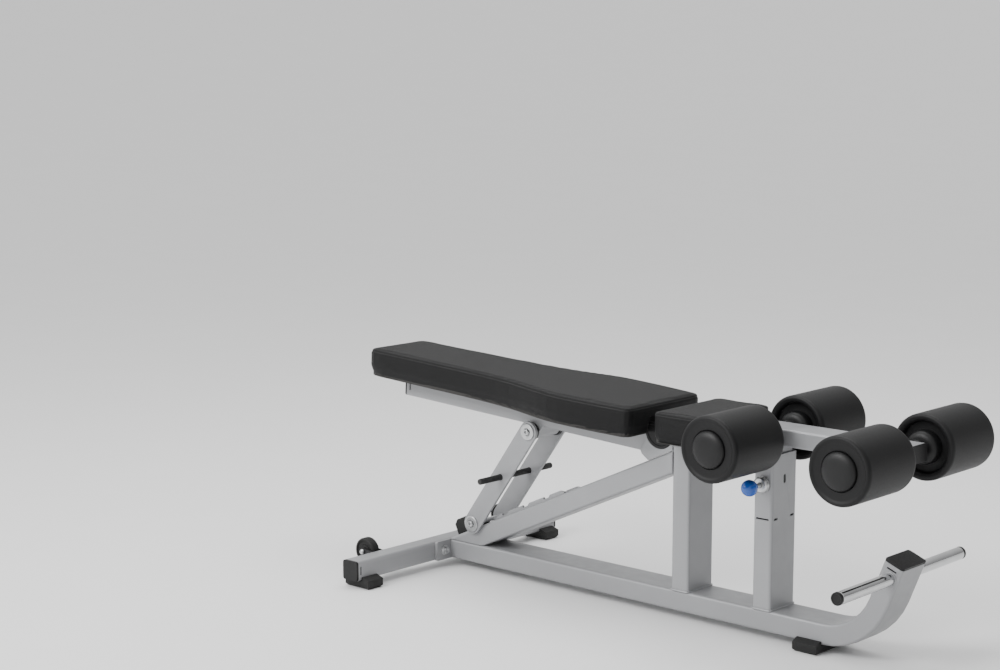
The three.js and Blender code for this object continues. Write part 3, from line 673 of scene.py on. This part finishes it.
def cord_loop(points, radius, tilted):
    """A thin round welt lying half sunk in the cover along a closed loop."""
    rings = []
    for at, out in zip(points, outward(points)):
        centre = at + out * 0.0002
        ring = [centre + (out * cos + Z_AXIS * sin) * radius for cos, sin in circle(8)]
        rings.append(hinge_frame(ring, back=True) if tilted else ring)
    return loft(rings, closed=True)


def stitch_row(points, tilted, length=0.0036, radius=0.00045):
    """A row of single stitches round the cushion, each a small stretched bead."""
    parts = []
    for i in range(0, len(points), 2):
        at, ahead = points[i], points[(i + 1) % len(points)]
        along = (ahead - at).normalized()
        out = Vector((along.y, -along.x, 0))
        rings = []
        for share, size in ((-0.5, 0.3), (-0.3, 1.0), (0.3, 1.0), (0.5, 0.3)):
            centre = at + along * length * share
            rings.append([centre + (out * cos + Z_AXIS * sin) * radius * size for cos, sin in circle(5)])
        if tilted:
            rings = [hinge_frame(ring, back=True) for ring in rings]
        parts.append(loft(rings))
    return merged(*parts)


def centre_of(node):
    low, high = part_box(node)
    return (low + high) / 2


# ------------------------------------------------------------------ camera, floor and light

def camera():
    data = bpy.data.cameras.new("camera")
    data.lens = 71.37
    data.sensor_width = 36
    data.clip_end = 200
    obj = bpy.data.objects.new("camera", data)
    scene.collection.objects.link(obj)
    azimuth, elevation = math.radians(42.16), math.radians(8.36)
    back = Vector((math.sin(azimuth) * math.cos(elevation), -math.cos(azimuth) * math.cos(elevation),
                   math.sin(elevation)))
    target = Vector((-0.43346, -0.00152, 0.61247))
    obj.location = target + back * 5.01787
    obj.rotation_euler = (-back).to_track_quat("-Z", "Y").to_euler()
    scene.camera = obj


def area_light(name, location, target, size, power):
    data = bpy.data.lights.new(name, "AREA")
    data.shape = "RECTANGLE"
    data.size, data.size_y = size
    data.energy = power
    obj = bpy.data.objects.new(name, data)
    scene.collection.objects.link(obj)
    obj.location = location
    obj.rotation_euler = (Vector(target) - Vector(location)).to_track_quat("-Z", "Y").to_euler()


def studio():
    world = bpy.data.worlds.new("studio")
    scene.world = world
    world.use_nodes = True
    sky = world.node_tree.nodes["Background"]
    sky.inputs["Color"].default_value = (1, 1, 1, 1)
    nodes, link = world.node_tree.nodes, world.node_tree.links.new
    facing = nodes.new("ShaderNodeVectorMath")
    facing.operation = "DOT_PRODUCT"
    facing.inputs[1].default_value = Vector((-0.62, -0.50, 0.60)).normalized()
    link(nodes.new("ShaderNodeTexCoord").outputs["Generated"], facing.inputs[0])
    spread = nodes.new("ShaderNodeMapRange")
    spread.inputs["From Min"].default_value = -0.9
    spread.inputs["From Max"].default_value = 0.9
    spread.inputs["To Min"].default_value = 0.12
    spread.inputs["To Max"].default_value = 1.35
    link(facing.outputs["Value"], spread.inputs["Value"])
    link(spread.outputs[0], sky.inputs["Strength"])
    area_light("key", (-1.2, -3.6, 3.0), (0, 0, 0.3), (2.6, 2.0), 150)
    area_light("top", (-0.2, 0.6, 3.6), (0, 0, 0), (3.0, 2.0), 70)

    paper = Shader("paper", (0.88, 0.88, 0.88), 0.55)
    paper.mottle(3, 3, (0.875, 0.875, 0.875), (0.885, 0.885, 0.885))
    flat, rim, rise = 10.0, 28.0, 4.5
    profile = [(0.0, 0.0), (flat, 0.0)]
    for i in range(1, 17):
        t = i / 16
        profile.append((flat + (rim - flat) * t, rise * t * t))
    verts, faces = turned(profile, (0, 0, -0.0005), (0, 0, 1), 96)
    mesh = bpy.data.meshes.new("floor")
    mesh.from_pydata([tuple(v) for v in verts], [], [face[::-1] for face in faces])
    mesh.polygons.foreach_set("use_smooth", [True] * len(mesh.polygons))
    mesh.materials.append(paper.material)
    floor = bpy.data.objects.new("floor", mesh)
    scene.collection.objects.link(floor)


camera()
studio()

# ------------------------------------------------------------------ steel frame, kept from the CAD

MADE_HERE = ("handle_bar", "handle_plug", "hinge_bearing", "strut_spacer", "strut_axle", "strut_foot_pin",
             "strut_handle", "pop_pin", "backrest_pad", "seat_pad", "foam_roller", "roller_hub",
             "roller_axle", "transport_wheel")
for node_name in frame["nodes"]:
    if not node_name.startswith(MADE_HERE):
        finish_node(node_name)

# ------------------------------------------------------------------ leg rollers

ROLLER_R = 0.075
AXLE_R = 0.0125
HUB_BORE = AXLE_R + 0.0003
FOAM_BORE = 0.0175
BEAM_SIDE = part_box("roller_beam")[1].y + 0.0002
SLEEVE_END = 0.0612                       # from the beam's middle to the outer end of an axle sleeve


def leg_roller(row, side, sign, axle_half):
    """Foam barrel, its outer end dished round a domed hub, its inner end deep round a bell-shaped hub."""
    body = f"roller_{row}_{side}"
    foam_node, hub_node = f"foam_roller_{row}_{side}", f"roller_hub_{row}_{side}"
    low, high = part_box(foam_node)
    centre = (low + high) / 2
    h = (high.y - low.y) / 2
    r = ROLLER_R
    outer = [(0.0438, h - 0.0090), (0.0440, h - 0.0036), (0.0462, h - 0.0030), (0.0600, h - 0.0032),
             (0.0640, h - 0.0020), (0.0662, h - 0.0003), (0.0682, h), (0.0705, h - 0.0006),
             (0.0728, h - 0.0022), (0.0744, h - 0.0052), (r, h - 0.0095)]
    barrel = [(r, (h - 0.012) * (1 - t / 5)) for t in range(11)]
    inner = [(r, -(h - 0.0095)), (0.0744, -(h - 0.0052)), (0.0728, -(h - 0.0022)), (0.0705, -(h - 0.0006)),
             (0.0682, -h), (0.0640, -(h - 0.0008)), (0.0600, -(h - 0.0030)), (0.0575, -(h - 0.0080)),
             (0.0560, -(h - 0.0150)), (0.0540, -(h - 0.0165)), (0.0400, -(h - 0.0165))]
    profile = [(FOAM_BORE, h - 0.0090)] + outer + barrel + inner
    profile += [(FOAM_BORE, -(h - 0.0165)), (FOAM_BORE, h - 0.0090)]
    foam = piece(body + "_foam", *turned(profile, centre, (0, sign, 0), 80), body, "foam")
    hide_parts(foam_node)

    axle_end = axle_half - abs(centre.y) + 0.0012
    dome = [(0.0, h + 0.0088), (0.010, h + 0.0087), (0.020, h + 0.0082), (0.028, h + 0.0071),
            (0.0340, h + 0.0054), (0.0385, h + 0.0030), (0.0412, h + 0.0004), (0.0423, h - 0.0030),
            (0.0423, h - 0.0086), (0.0172, h - 0.0086), (0.0172, h - 0.0300), (HUB_BORE, h - 0.0300),
            (HUB_BORE, axle_end), (0.0, axle_end)]
    bell = [(HUB_BORE, -(h - 0.0300)), (0.0172, -(h - 0.0300)), (0.0172, -(h - 0.0161)),
            (0.0385, -(h - 0.0161)), (0.0388, -(h - 0.0080)), (0.0385, -(h - 0.0010)),
            (0.0372, -(h + 0.0045)), (0.0345, -(h + 0.0085)), (0.0300, -(h + 0.0115)),
            (0.0240, -(h + 0.0130)), (HUB_BORE, -(h + 0.0132)), (HUB_BORE, -(h - 0.0300))]
    hub = piece(body + "_hub", *merged(turned(dome, centre, (0, sign, 0), 72),
                                       turned(bell, centre, (0, sign, 0), 72)), body, "black_plastic")
    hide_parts(hub_node)


for row in ("rear", "front"):
    axle_node = f"roller_axle_{row}"
    axle_low, axle_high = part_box(axle_node)
    centre = (axle_low + axle_high) / 2
    axle_half = (axle_high.y - axle_low.y) / 2
    for side, sign in SIDES:
        leg_roller(row, side, sign, axle_half)
    axle = turned(rod_profile(AXLE_R, axle_half, 0.001), centre, Y_AXIS, 32)
    steel = piece(f"roller_axle_{row}_rod", *axle, "carriage", "zinc_steel")
    sleeve = fillet([(HUB_BORE, BEAM_SIDE), (0.0220, BEAM_SIDE), (0.0220, BEAM_SIDE + 0.005),
                     (0.0195, BEAM_SIDE + 0.007), (0.0195, SLEEVE_END), (HUB_BORE, SLEEVE_END),
                     (HUB_BORE, BEAM_SIDE)], 0.0012, 3)
    sleeves = [turned(sleeve, centre, (0, sign, 0), 48) for sign in (1, -1)]
    collars = piece(f"roller_axle_{row}_sleeves", *merged(*sleeves), "carriage", "black_plastic")
    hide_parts(axle_node)
    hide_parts(axle_node)

# ------------------------------------------------------------------ cushions

upholstered("backrest_cushion", "backrest_pad", "backrest_board", "backrest", 0.005, 0.0025, True)
upholstered("seat_cushion", "seat_pad", "seat_board", "frame", 0.004, 0.002, False)

# ------------------------------------------------------------------ handle bar

bar_low, bar_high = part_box("handle_bar")
bar_centre = (bar_low + bar_high) / 2
bar_half = (bar_high.y - bar_low.y) / 2
BAR_R = 0.0145
bar = piece("chrome_handle_bar", *turned(rod_profile(BAR_R, bar_half, 0.0008), bar_centre, Y_AXIS, 72),
            "frame", "chrome")
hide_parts("handle_bar")
for side, sign in SIDES:
    start = bar_half + 0.0003
    outline = fillet([(0, start), (BAR_R, start), (BAR_R, start + 0.0078), (BAR_R - 0.004, start + 0.0078),
                      (BAR_R - 0.0045, start + 0.0066), (0, start + 0.0066)], 0.0016, 4)
    plug = piece(f"handle_plug_{side}_moulded", *turned(outline, bar_centre, (0, sign, 0), 64),
                 "frame", "black_plastic")
    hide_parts(f"handle_plug_{side}")

# ------------------------------------------------------------------ strut and hinge hardware

SCREW_SIDES = 48                          # facets round the mouth and the hexagon of a socket


def socket_screw(origin, out, washer_r, head_r, hex_r, washer_h=0.004, head_h=0.0045):
    """A broad dished washer with a round-headed socket screw on it, facing along out."""
    well = head_r + 0.0017
    dish = fillet([(0, 0), (washer_r, 0), (washer_r, washer_h * 0.7), (washer_r * 0.94, washer_h),
                   (well, washer_h), (well - 0.0002, 0.0008), (0, 0.0008)], 0.0005, 3)
    washer = turned(dish, origin, out, 56)
    top = washer_h + head_h
    mouth_r = hex_r * 1.18
    base = Vector(origin)
    head = turned(fillet([(0, 0.0006), (head_r, 0.0006), (head_r, top - 0.0022),
                          (head_r * 0.80, top), (mouth_r, top)], 0.0012, 4), base, out, 48)
    axis = Vector(out).normalized()
    u = axis.orthogonal().normalized()
    v = axis.cross(u)
    n = SCREW_SIDES
    mouth = [base + axis * top + (u * cos + v * sin) * mouth_r for cos, sin in circle(n)]

    def hexagon(along):
        ring = []
        for k, (cos, sin) in enumerate(circle(n)):
            t = 2 * math.pi * k / n
            flat = math.cos(math.pi / 6) / math.cos((t % (math.pi / 3)) - math.pi / 6)
            ring.append(base + axis * along + (u * cos + v * sin) * hex_r * flat)
        return ring

    socket_rings = [mouth, hexagon(top - 0.0004), hexagon(top - 0.0038)]
    verts = [p for ring in socket_rings for p in ring]
    faces = []
    for i in range(2):
        faces += [(i * n + j, i * n + (j + 1) % n, (i + 1) * n + (j + 1) % n, (i + 1) * n + j)
                  for j in range(n)]
    faces.append(tuple(range(2 * n, 3 * n)))
    return merged(washer, head, (verts, faces))


ARM_FACE = 0.0593                         # from the middle of the bench to the outer face of a strut arm
PIN_HALF = 0.060
for node, radius in (("strut_axle", 0.009), ("strut_foot_pin", 0.006)):
    centre = centre_of(node)
    shaft = [(0, -PIN_HALF), (radius - 0.0001, -PIN_HALF), (radius - 0.0001, PIN_HALF), (0, PIN_HALF)]
    parts = [turned(shaft, centre, Y_AXIS, 40)]
    for sign in (1, -1):
        at = centre + Y_AXIS * (sign * ARM_FACE)
        parts.append(socket_screw(at, (0, sign, 0), 0.0208, 0.0086, 0.0048))
    hardware = piece(node + "_hardware", *merged(*parts), "strut", "zinc_steel")
    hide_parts(node)

for side, sign in SIDES:
    node = f"strut_spacer_{side}"
    centre = centre_of(node)
    h = 0.0049
    ring = fillet([(0.0095, -h), (0.0225, -h), (0.0225, h), (0.0095, h), (0.0095, -h)], 0.0015, 4)
    spacer = piece(node + "_disc", *turned(ring, centre, Y_AXIS, 56), "strut", "black_plastic")
    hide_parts(node)

handle_low, handle_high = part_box("strut_handle")
handle_centre = (handle_low + handle_high) / 2
reach = (handle_high.y - handle_low.y) / 2
grip_profile = fillet([(0, -reach), (0.0065, -reach), (0.0076, -reach + 0.002), (0.0076, reach - 0.002),
                       (0.0065, reach), (0, reach)], 0.0012, 3)
rod = piece("strut_grip_rod", *turned(grip_profile, handle_centre, Y_AXIS, 48), "strut", "grip_rubber")
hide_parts("strut_handle")


def bearing(side, sign):
    """Round bearing block with a flat top and front, a raised rim and a bored middle."""
    node = f"hinge_bearing_{side}"
    centre = Vector((HINGE.x, centre_of(node).y, HINGE.z))
    radius, top, front, half, bore_r = 0.0429, 0.0178, 0.0328, 0.0034, 0.0113

    def outline(inset):
        r = radius - inset
        return [(min(r * cos, front - inset), min(r * sin, top - inset)) for cos, sin in circle(96)]

    def ring_at(points, y):
        return [centre + Vector((x, y * sign, z)) for x, z in points]

    bore = [(bore_r * cos, bore_r * sin) for cos, sin in circle(96)]
    rings = [ring_at(bore, -half), ring_at(outline(0.0008), -half), ring_at(outline(0), -half + 0.0008),
             ring_at(outline(0), half - 0.0008), ring_at(outline(0.0008), half),
             ring_at(outline(0.006), half), ring_at(outline(0.0072), half - 0.0014),
             ring_at(bore, half - 0.0014)]
    made = piece(f"{node}_block", *loft(rings, closed=True), "frame", "black_plastic")
    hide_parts(node)


for side, sign in SIDES:
    bearing(side, sign)

# ------------------------------------------------------------------ pop pin

barrel_low, barrel_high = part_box("pop_pin_housing")
barrel_mid = (barrel_low + barrel_high) / 2
barrel_face = Vector((barrel_mid.x, barrel_high.y, barrel_mid.z))
barrel_r = (barrel_high.x - barrel_low.x) / 2
barrel_len = barrel_high.y - barrel_low.y
PIN_R = 0.0060
BARREL_BORE = PIN_R + 0.0003
barrel_profile = fillet([(BARREL_BORE, 0.0), (barrel_r - 0.0008, 0.0), (barrel_r, 0.0010), (barrel_r, 0.0040),
                         (barrel_r - 0.0012, 0.0048), (barrel_r - 0.0012, 0.0062), (barrel_r, 0.0070),
                         (barrel_r, barrel_len - 0.0035), (barrel_r - 0.0040, barrel_len),
                         (BARREL_BORE, barrel_len), (BARREL_BORE, 0.0)], 0.0006, 3)
barrel = piece("pop_pin_barrel", *turned(barrel_profile, barrel_face, (0, -1, 0), 72), "frame", "zinc_steel")
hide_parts("pop_pin_housing")

pin_low, pin_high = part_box("pop_pin")
ball_r = (pin_high.x - pin_low.x) / 2
ball_at = Vector((barrel_face.x, pin_low.y + ball_r, barrel_face.z))
neck_r = 0.0085
ball_profile = [(0.0, -ball_r)]
ball_profile += [(ball_r * sin, -ball_r * cos) for cos, sin in circle(64)[1:28]]
ball_profile += [(neck_r, ball_r * 0.93), (neck_r, ball_r + 0.0025), (0.0, ball_r + 0.0025)]
ball = piece("pop_pin_ball", *turned(ball_profile, ball_at, Y_AXIS, 64), "pop_pin", "blue_plastic")
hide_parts("pop_pin")
shank_start, shank_end = ball_r + 0.0026, pin_high.y - ball_at.y
shank_profile = [(0, shank_start), (PIN_R, shank_start), (PIN_R, shank_end - 0.0015),
                 (PIN_R - 0.0015, shank_end), (0, shank_end)]
shank = piece("pop_pin_shank", *turned(shank_profile, ball_at, Y_AXIS, 32), "pop_pin", "zinc_steel")
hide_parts("pop_pin")

# ------------------------------------------------------------------ transport wheels

for side, sign in SIDES:
    node = f"transport_wheel_{side}"
    centre = centre_of(node)
    r, h = 0.0338, 0.0118
    tread = [(r - 0.0003 - (0.0010 if k % 2 else 0), -h + 0.004 + k * 0.002) for k in range(9)]
    tread = [(rad, min(along, h - 0.004)) for rad, along in tread]
    face = [(0.0056, h), (0.0160, h), (0.0175, h - 0.0030), (0.0255, h - 0.0030), (0.0272, h),
            (r - 0.0032, h), (r - 0.0010, h - 0.0022)]
    profile = [(rad, -along) for rad, along in face] + tread + face[::-1] + [(0.0056, -h)]
    wheel = piece(f"{node}_moulded", *turned(profile, centre, Y_AXIS, 64), f"wheel_{side}", "rubber")
    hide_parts(node)

# ------------------------------------------------------------------ small fittings and the painted shade in the post's window

cap = [(0, 0.0182), (0.0068, 0.0182), (0.0068, 0.0208), (0.0058, 0.0228), (0.0034, 0.0240), (0, 0.0244)]
for side, sign in SIDES:
    hub_centre = centre_of(f"transport_wheel_{side}")
    caps = [turned(cap, hub_centre, (0, out, 0), 40) for out in (1, -1)]
    piece(f"wheel_bolt_{side}", *merged(*caps), "frame", "zinc_steel")

post_low, post_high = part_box("roller_post")
POST_X = (post_low.x + post_high.x) / 2
LATCH_Z = 0.370
# Painted shade: a black plastic plug sunk into the post's latch window stands in for the dark hollow seen
# through the hole.
window_shade_rings = [[Vector((post_high.x - depth, y * size, LATCH_Z + z * size))
                for y, z in rounded_rect(0.0086, 0.0206, 0.0042)]
               for depth, size in ((0.0040, 1.0), (0.0016, 1.0), (0.0012, 0.98))]
piece("post_window_painted_shade", *loft(window_shade_rings), "frame", "black_plastic")

# ------------------------------------------------------------------ weld beads

WELD = 0.0028
THIN_WELD = 0.0022
INCLINE_MID_X, INCLINE_MID_Z = -0.0655, 0.2748    # a point on the inclined beam's middle line
NOSE_SIDE = 0.0494                        # from the middle of the base beam to its side face
BEAM_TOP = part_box("rear_crossbar")[1].z


def rectangle_path(centre, across, up, width, height, corner=0.006):
    """Points round a rounded rectangle that lies in the plane of two directions."""
    return [Vector(centre) + across * a + up * b for a, b in rounded_rect(width, height, corner, 3)]


def ring_path(centre, radius):
    """Points round a circle that faces along Y."""
    return [Vector(centre) + Vector((cos, 0, sin)) * radius for cos, sin in circle(48)]


def weld(name, path, body="frame", size=WELD):
    piece(name, *bead(path, size), body, "silver_paint")


SEAT_POST_X = 0.177
POST_WIDE, POST_DEEP = 0.0986, 0.0506
for post_name, post_x in (("roller_post", POST_X), ("seat_post", SEAT_POST_X)):
    post_foot = (post_x, 0, BEAM_TOP + 0.0006)
    weld(f"{post_name}_weld", rectangle_path(post_foot, X_AXIS, Y_AXIS, POST_DEEP, POST_WIDE))
slide_top = (POST_X, 0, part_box("sliding_post")[1].z)
weld("carriage_weld", rectangle_path(slide_top, X_AXIS, Y_AXIS, 0.0384, 0.0804), "carriage", THIN_WELD)
JOINT_X = SEAT_POST_X - 0.0254            # where the inclined beam meets the seat post
JOINT_Z = INCLINE_MID_Z + math.tan(INCLINE) * (JOINT_X - INCLINE_MID_X)
weld("incline_upper_weld", rectangle_path((JOINT_X, 0, JOINT_Z), Y_AXIS, Z_AXIS, 0.0984, 0.055))
for side, sign in SIDES:
    where = (bar_centre.x, sign * NOSE_SIDE, bar_centre.z)
    weld(f"handle_weld_{side}", ring_path(where, BAR_R + 0.0008), size=THIN_WELD)
